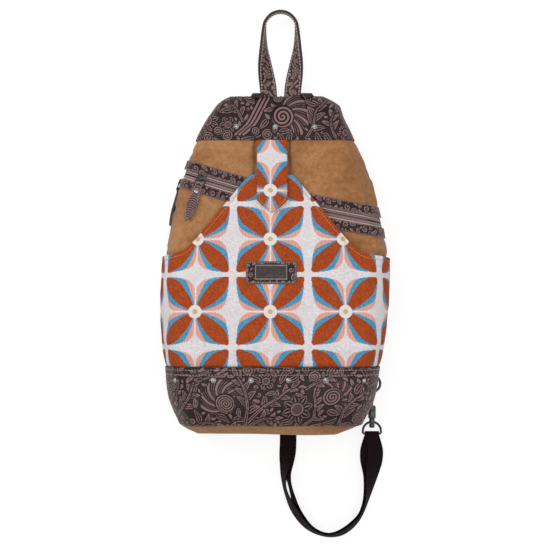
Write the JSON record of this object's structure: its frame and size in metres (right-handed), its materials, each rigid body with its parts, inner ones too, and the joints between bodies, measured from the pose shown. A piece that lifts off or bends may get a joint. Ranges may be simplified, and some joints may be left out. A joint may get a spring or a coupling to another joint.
{
  "type": "sling backpack",
  "caption": "Soft canvas sling backpack with leather bands, a patterned slip pocket, zips, a top handle and a webbing strap on a snap hook.",
  "frame": {"origin": "on the flat of the back panel, 160 mm above the bag's foot, with the bag lying on its back", "axes": "+X to the right of the front, +Y from the foot to the handle, +Z out of the front"},
  "size_m": [0.2541, 0.5865, 0.1054],
  "materials": {
    "canvas": "matte woven canvas",
    "leather": "tooled, satin",
    "handle_leather": "smooth, satin",
    "jacquard": "ribbed woven pattern",
    "lining": "plain",
    "tape": "woven",
    "webbing": "ribbed",
    "gunmetal": "dark plated, satin",
    "pale_metal": "pale plated, polished"
  },
  "bodies": {
    "bag": {"front_panel_upper": "canvas", "front_panel_lower": "canvas", "side_gusset_left": "canvas", "side_gusset_right": "canvas", "back_panel": "canvas", "base_panel": "canvas", "top_band": "leather", "bottom_band": "leather", "zip_welt_upper": "leather", "zip_welt_lower": "leather", "top_gusset": "leather", "patch": "leather", "strap_anchor": "leather", "d_ring_tab": "leather", "handle_loop": "handle_leather", "front_pocket": "jacquard", "closure_tab": "jacquard", "lining_front": "lining", "lining_back": "lining", "zip_pocket_bag": "lining", "zip_tape_upper": "tape", "zip_tape_lower": "tape", "side_zip_tape_front": "tape", "side_zip_tape_back": "tape", "strap": "webbing", "swivel_eye": "gunmetal", "strap_slide": "gunmetal", "name_plate": "gunmetal", "snap_stud": "pale_metal", "snap_socket": "pale_metal", "stud_top_1": "pale_metal", "stud_top_2": "pale_metal", "stud_top_3": "pale_metal", "stud_bottom_1": "pale_metal", "stud_bottom_2": "pale_metal", "stud_bottom_3": "pale_metal", "stud_bottom_4": "pale_metal", "stud_bottom_5": "pale_metal", "stud_bottom_6": "pale_metal"},
    "front_slider": {"zip_slider": "gunmetal"},
    "front_pull": {"zip_puller": "gunmetal", "pull_tab": "leather", "pull_rivet": "pale_metal"},
    "side_slider": {"side_zip_slider": "gunmetal"},
    "side_pull": {"side_zip_puller": "gunmetal", "side_pull_tab": "leather", "side_pull_rivet": "pale_metal"},
    "d_ring": {"d_ring": "gunmetal"},
    "hook": {"hook_body": "gunmetal", "hook_gate_pin": "gunmetal", "gate_spring": "gunmetal", "swivel_pin": "gunmetal"},
    "gate": {"hook_gate": "gunmetal"}
  },
  "joints": [
    {"name": "front_zip_travel", "type": "hinge", "parent": "bag", "child": "front_slider", "pos_m": [0.34468, 1.35099, -0.26405], "axis": [0, 0.258, 0.9662], "range_deg": [0, 7.3]},
    {"name": "front_pull_swing", "type": "hinge", "parent": "front_slider", "child": "front_pull", "pos_m": [-0.079, 0.12083, 0.06834], "axis": [0.9489, -0.3048, 0.0814], "range_deg": [-150, 0]},
    {"name": "side_zip_travel", "type": "hinge", "parent": "bag", "child": "side_slider", "pos_m": [0.36947, -0.0037, 0.02], "axis": [0, 0, 1], "range_deg": [0, 17.8]},
    {"name": "side_pull_swing", "type": "hinge", "parent": "side_slider", "child": "side_pull", "pos_m": [-0.10349, 0.11869, 0.01915], "axis": [-0.2831, 0.0733, 0.9563], "range_deg": [-150, 0]},
    {"name": "d_ring_swing", "type": "hinge", "parent": "bag", "child": "d_ring", "pos_m": [0.1052, -0.1066, 0.0085], "axis": [0, 1, 0], "range_deg": [-15, 15]},
    {"name": "hook_swivel", "type": "hinge", "parent": "bag", "child": "hook", "pos_m": [0.11, -0.14, 0.0085], "axis": [0, 1, 0], "range_deg": [-12, 12]},
    {"name": "gate_pivot", "type": "hinge", "parent": "hook", "child": "gate", "pos_m": [0.11, -0.1342, 0.0115], "axis": [1, 0, 0], "range_deg": [-25, 0], "stiffness_Nm_per_rad": 0.01}
  ]
}
